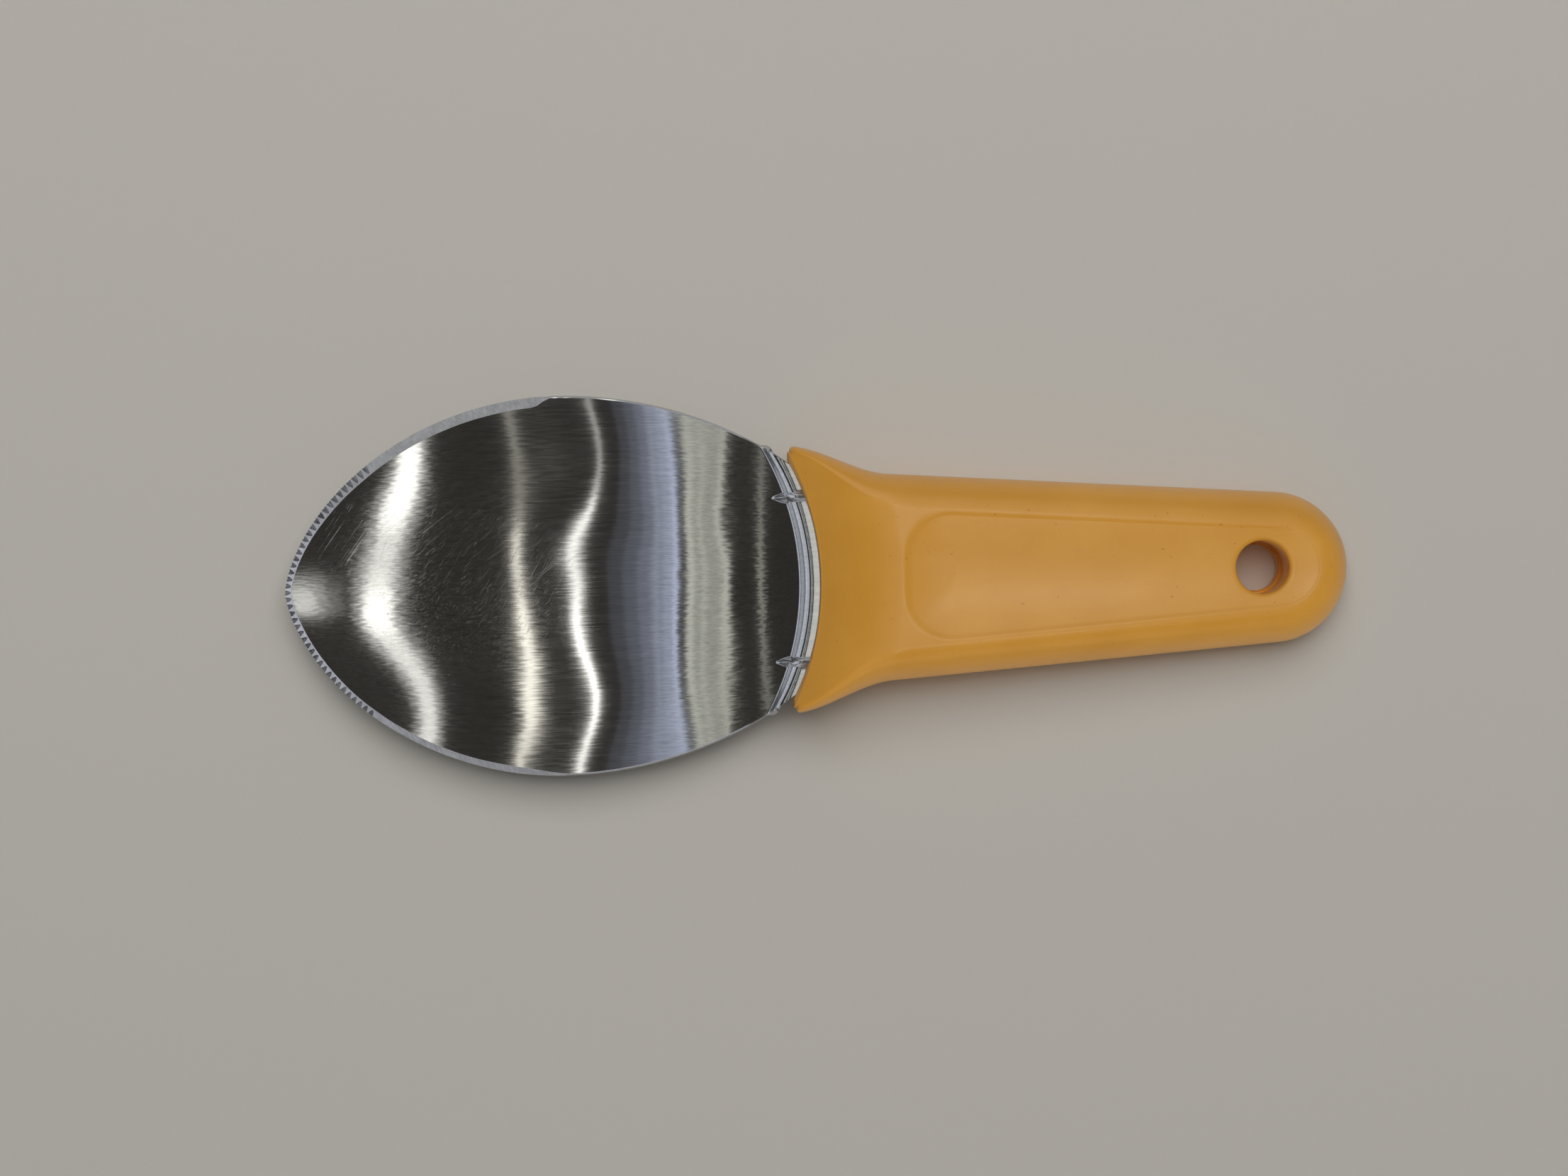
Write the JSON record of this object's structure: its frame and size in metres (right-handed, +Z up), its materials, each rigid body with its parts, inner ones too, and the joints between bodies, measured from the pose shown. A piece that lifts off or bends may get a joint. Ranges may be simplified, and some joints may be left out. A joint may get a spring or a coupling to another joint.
{
  "type": "mango spoon",
  "caption": "Broad leaf-shaped steel spoon with a serrated ground tip for scooping mango flesh, set into a flared moulded plastic handle with a thumb recess and a hang hole",
  "frame": {"origin": "centre of the footprint, on the surface the spoon lies on", "axes": "+X from the tip of the bowl to the round end of the handle, +Z up out of the bowl, +Y to the left of a person who looks along +X"},
  "size_m": [0.1852, 0.066, 0.0147],
  "materials": {
    "steel": "brushed along the length, bright",
    "handle_plastic": "satin, finely textured"
  },
  "bodies": {
    "root": {"steel_bowl": "steel", "handle": "handle_plastic"}
  },
  "joints": []
}
